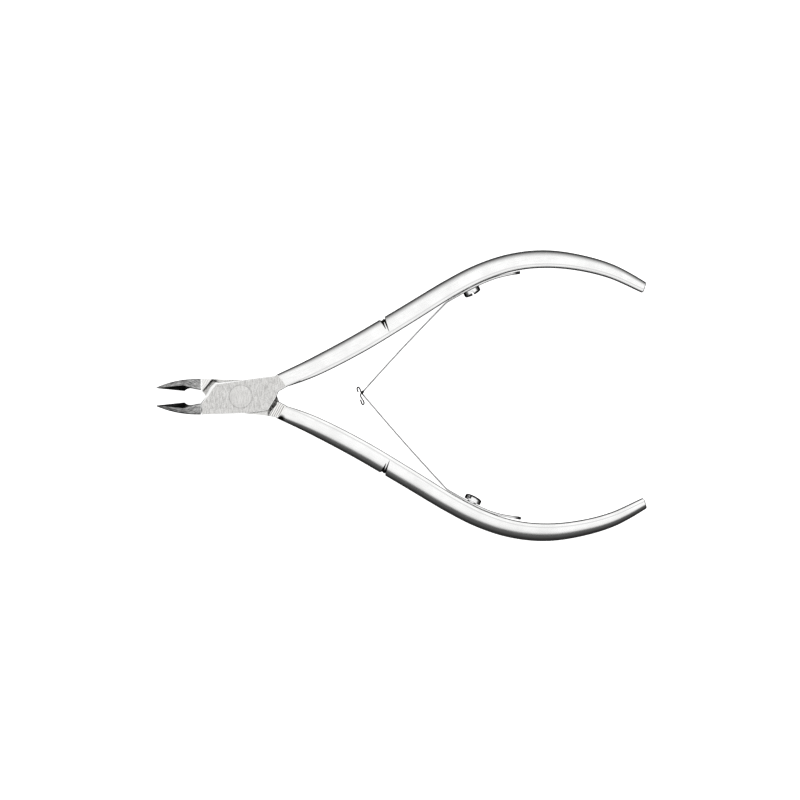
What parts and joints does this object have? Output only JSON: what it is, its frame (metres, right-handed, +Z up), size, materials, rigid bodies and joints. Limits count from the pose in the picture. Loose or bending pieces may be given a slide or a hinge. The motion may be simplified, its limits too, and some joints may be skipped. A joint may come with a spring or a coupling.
{
  "type": "cuticle nipper",
  "caption": "Hand nipper with short pointed cutting jaws, a riveted lap joint, long bowed handles and crossed leaf springs that hold the jaws open.",
  "frame": {"origin": "on the pivot axis, at the underside of the joint, where the nipper lies on a table", "axes": "+X from the pivot toward the handle ends, jaws toward -X; +Y toward the handle that is uppermost in plan; +Z up, along the pivot axis"},
  "size_m": [0.1053, 0.0626, 0.006],
  "materials": {
    "polished_steel": "polished forged stainless steel, satin ground on the joint faces",
    "ground_steel": "satin ground flush with the joint faces",
    "spring_steel": "rolled spring strip, lightly brushed",
    "screw_steel": "turned and polished slotted screw"
  },
  "bodies": {
    "lower_half": {"lower_handle_half": "polished_steel", "pivot_rivet": "ground_steel", "lower_spring_foot": "spring_steel", "lower_spring_screw": "screw_steel"},
    "upper_half": {"upper_handle_half": "polished_steel", "upper_spring_foot": "spring_steel", "upper_spring_screw": "screw_steel"},
    "upper_arm": {"upper_spring_arm": "spring_steel"},
    "lower_arm": {"lower_spring_arm": "spring_steel"}
  },
  "joints": [
    {"name": "pivot", "type": "hinge", "parent": "lower_half", "child": "upper_half", "pos_m": [0, 0, 0.003], "axis": [0, 0, -1], "range_deg": [0, 11.3], "stiffness_Nm_per_rad": 1.2},
    {"name": "upper_spring_flex", "type": "hinge", "parent": "upper_half", "child": "upper_arm", "pos_m": [0.0442, 0.02014, 0.003], "axis": [0, 0, -1], "range_deg": [0, 7.6]},
    {"name": "lower_spring_flex", "type": "hinge", "parent": "lower_half", "child": "lower_arm", "pos_m": [0.0442, -0.02014, 0.003], "axis": [0, 0, 1], "range_deg": [0, 6.7]}
  ],
  "couplings": [
    {"joint": "upper_spring_flex", "follows": "pivot", "ratio": 0.665},
    {"joint": "lower_spring_flex", "follows": "pivot", "ratio": 0.585}
  ]
}
